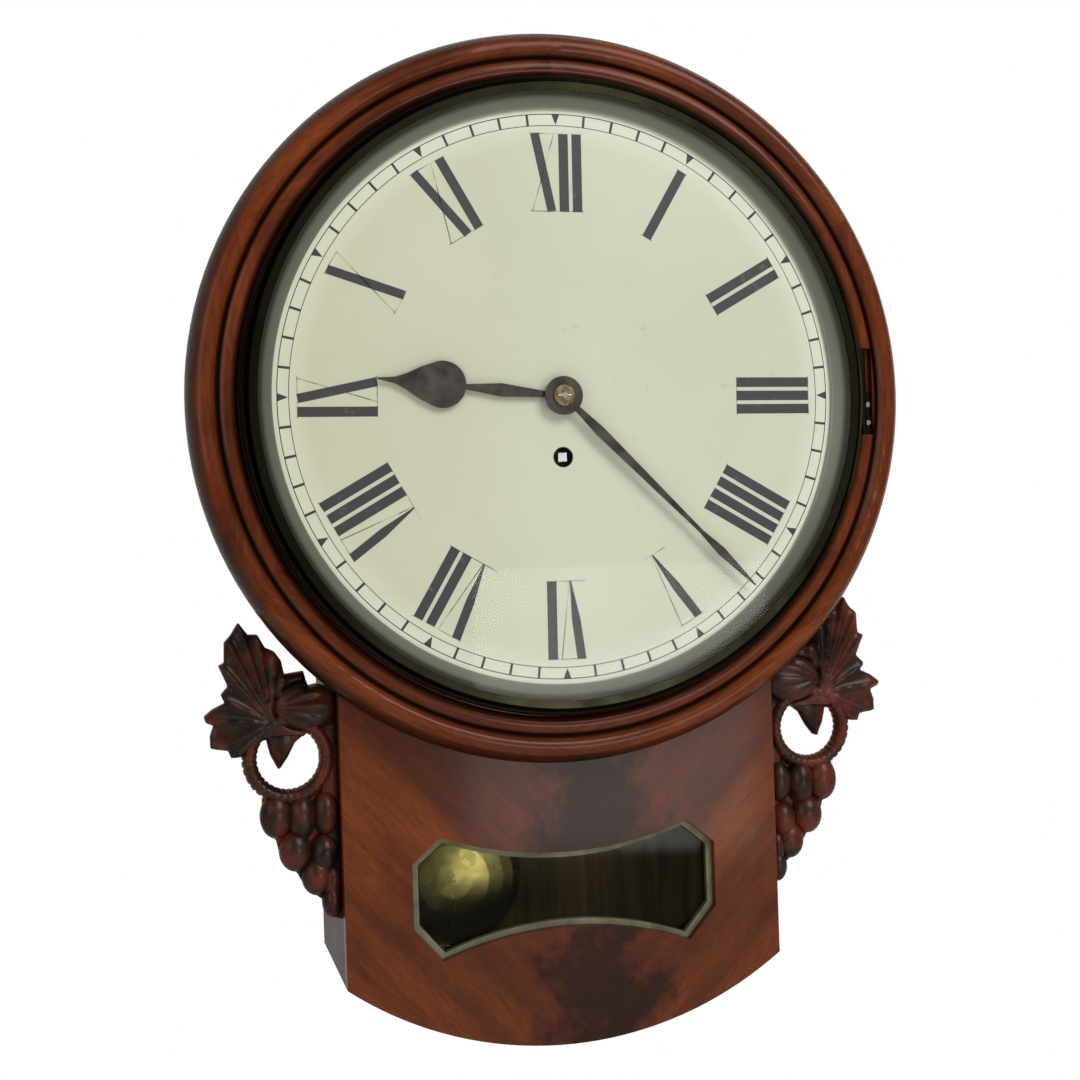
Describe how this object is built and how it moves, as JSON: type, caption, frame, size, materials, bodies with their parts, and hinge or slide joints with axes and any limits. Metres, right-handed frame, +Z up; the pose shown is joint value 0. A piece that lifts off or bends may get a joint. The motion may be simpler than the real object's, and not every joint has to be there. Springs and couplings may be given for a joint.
{
  "type": "drop dial wall clock",
  "caption": "Round-dial wall clock with a turned wooden surround, glazed bezel, short trunk with a waisted window, carved vine ears, and a fusee pendulum movement.",
  "frame": {"origin": "centre of the hanging hole on the wall plane", "axes": "+Z up; +Y into the wall, so the dial faces -Y; +X to the right as the clock is looked at"},
  "size_m": [0.3889, 0.147, 0.542],
  "materials": {
    "mahogany": "french polished",
    "carved_mahogany": "stained and polished",
    "pine": "bare",
    "beech": "bare",
    "brass": "lacquered, dulled",
    "dark_brass": "tarnished",
    "steel": "polished",
    "blued_steel": "blued, browned with age",
    "dial_paint": "painted cream",
    "glass": "old sheet",
    "gut": "natural gut"
  },
  "bodies": {
    "case": {"dial_surround": "mahogany", "left_batten": "pine", "right_batten": "pine", "case_pegs": "beech", "backboard": "pine", "left_side": "mahogany", "right_side": "mahogany", "case_top": "pine", "trunk_front": "mahogany", "bottom_left_rail": "mahogany", "bottom_right_rail": "mahogany", "window_bead": "dark_brass", "window_glass": "glass", "left_ear": "carved_mahogany", "right_ear": "carved_mahogany", "hanging_plate": "brass", "wood_screws": "steel", "door_hinge_leaves": "brass", "door_hinge_pins": "steel", "dial_plate": "dial_paint", "taper_pins": "steel", "bezel_hinge_leaf": "dark_brass", "bezel_hinge_pin": "steel", "front_plate": "brass", "back_plate": "brass", "plate_pillars": "brass", "barrel_arbor": "steel", "mainspring": "steel", "gut_line": "gut", "back_cock": "brass", "movement_screws": "steel"},
    "bezel_door": {"bezel": "dark_brass", "bezel_glass": "glass", "sight_ring": "dark_brass"},
    "side_door": {"side_door": "mahogany", "side_hinge_straps": "brass"},
    "bottom_door": {"bottom_door": "mahogany", "bottom_hinge_straps": "brass"},
    "side_button": {"side_door_button": "brass"},
    "bottom_button": {"bottom_door_button": "brass"},
    "minute_hand": {"cannon_pinion": "brass", "minute_hand": "blued_steel", "hand_collet": "brass", "hand_pin": "steel"},
    "centre_arbor": {"centre_arbor": "steel"},
    "great_wheel": {"great_wheel": "brass"},
    "third_arbor": {"third_arbor": "steel"},
    "escape_arbor": {"escape_arbor": "steel"},
    "minute_wheel": {"minute_wheel": "brass"},
    "hour_hand": {"hour_wheel": "brass", "hour_hand": "blued_steel"},
    "fusee": {"fusee": "brass"},
    "spring_barrel": {"spring_barrel": "brass", "barrel_cap": "brass"},
    "pendulum": {"suspension_spring": "steel", "pendulum_rod": "steel"},
    "pallets": {"pallets": "steel"},
    "pendulum_bob": {"pendulum_bob": "brass"},
    "rating_nut": {"rating_nut": "brass"},
    "click": {"click": "steel"}
  },
  "joints": [
    {"name": "bezel_hinge", "type": "hinge", "parent": "case", "child": "bezel_door", "pos_m": [0.1706, -0.135, -0.095], "axis": [0, 0, 1], "range_deg": [0, 90]},
    {"name": "side_door_hinge", "type": "hinge", "parent": "case", "child": "side_door", "pos_m": [0.1217, -0.02225, -0.24], "axis": [0, 0, 1], "range_deg": [0, 95]},
    {"name": "side_button_turn", "type": "hinge", "parent": "case", "child": "side_button", "pos_m": [0.12, -0.0885, -0.195], "axis": [1, 0, 0], "range_deg": [0, 90]},
    {"name": "bottom_door_hinge", "type": "hinge", "parent": "case", "child": "bottom_door", "pos_m": [-0.06025, -0.056, -0.43509], "axis": [0, 1, 0], "range_deg": [0, 90]},
    {"name": "bottom_button_turn", "type": "hinge", "parent": "case", "child": "bottom_button", "pos_m": [0.0665, -0.056, -0.43124], "axis": [0.3292, 0, -0.9443], "range_deg": [0, 90]},
    {"name": "minute_hand_turn", "type": "hinge", "parent": "case", "child": "minute_hand", "pos_m": [0, -0.1, -0.095], "axis": [0, 1, 0], "continuous": true},
    {"name": "centre_arbor_turn", "type": "hinge", "parent": "case", "child": "centre_arbor", "pos_m": [0, -0.1, -0.095], "axis": [0, 1, 0], "continuous": true},
    {"name": "great_wheel_turn", "type": "hinge", "parent": "case", "child": "great_wheel", "pos_m": [0, -0.1, -0.1271], "axis": [0, 1, 0], "continuous": true},
    {"name": "third_arbor_turn", "type": "hinge", "parent": "case", "child": "third_arbor", "pos_m": [0.01364, -0.1, -0.07135], "axis": [0, 1, 0], "continuous": true},
    {"name": "escape_arbor_turn", "type": "hinge", "parent": "case", "child": "escape_arbor", "pos_m": [0, -0.1, -0.057], "axis": [0, 1, 0], "continuous": true},
    {"name": "minute_wheel_turn", "type": "hinge", "parent": "case", "child": "minute_wheel", "pos_m": [-0.01689, -0.1, -0.08525], "axis": [0, 1, 0], "continuous": true},
    {"name": "hour_hand_turn", "type": "hinge", "parent": "case", "child": "hour_hand", "pos_m": [0, -0.1, -0.095], "axis": [0, 1, 0], "continuous": true},
    {"name": "winding", "type": "hinge", "parent": "great_wheel", "child": "fusee", "pos_m": [0, -0.1, -0.1271], "axis": [0, 1, 0], "range_deg": [0, 5760]},
    {"name": "barrel_turn", "type": "hinge", "parent": "case", "child": "spring_barrel", "pos_m": [-0.054, -0.1, -0.141], "axis": [0, 1, 0], "range_deg": [0, 3600]},
    {"name": "pendulum_swing", "type": "hinge", "parent": "case", "child": "pendulum", "pos_m": [0, -0.047, -0.035], "axis": [0, -1, 0], "range_deg": [-1, 19]},
    {"name": "crutch_swing", "type": "hinge", "parent": "case", "child": "pallets", "pos_m": [0, -0.057, -0.035], "axis": [0, -1, 0], "range_deg": [-1, 19]},
    {"name": "bob_rise", "type": "slide", "parent": "pendulum", "child": "pendulum_bob", "axis": [0.1564, 0, 0.9877], "range_m": [-0.0056, 0.0056]},
    {"name": "rating_nut_turn", "type": "hinge", "parent": "pendulum_bob", "child": "rating_nut", "pos_m": [-0.05851, -0.047, -0.4044], "axis": [0.1564, 0, 0.9877], "range_deg": [-2880, 2880]},
    {"name": "click_lift", "type": "hinge", "parent": "case", "child": "click", "pos_m": [-0.042, -0.063, -0.129], "axis": [0, 1, 0], "range_deg": [0, 20], "stiffness_Nm_per_rad": 0.02}
  ],
  "couplings": [
    {"joint": "centre_arbor_turn", "follows": "minute_hand_turn", "ratio": 1},
    {"joint": "great_wheel_turn", "follows": "minute_hand_turn", "ratio": -0.083333},
    {"joint": "third_arbor_turn", "follows": "minute_hand_turn", "ratio": -12},
    {"joint": "escape_arbor_turn", "follows": "minute_hand_turn", "ratio": 120},
    {"joint": "minute_wheel_turn", "follows": "minute_hand_turn", "ratio": -0.33333},
    {"joint": "hour_hand_turn", "follows": "minute_hand_turn", "ratio": 0.083333},
    {"joint": "barrel_turn", "follows": "winding", "ratio": 0.6},
    {"joint": "crutch_swing", "follows": "pendulum_swing", "ratio": 1},
    {"joint": "rating_nut_turn", "follows": "bob_rise", "rad_per_m": 8976}
  ]
}
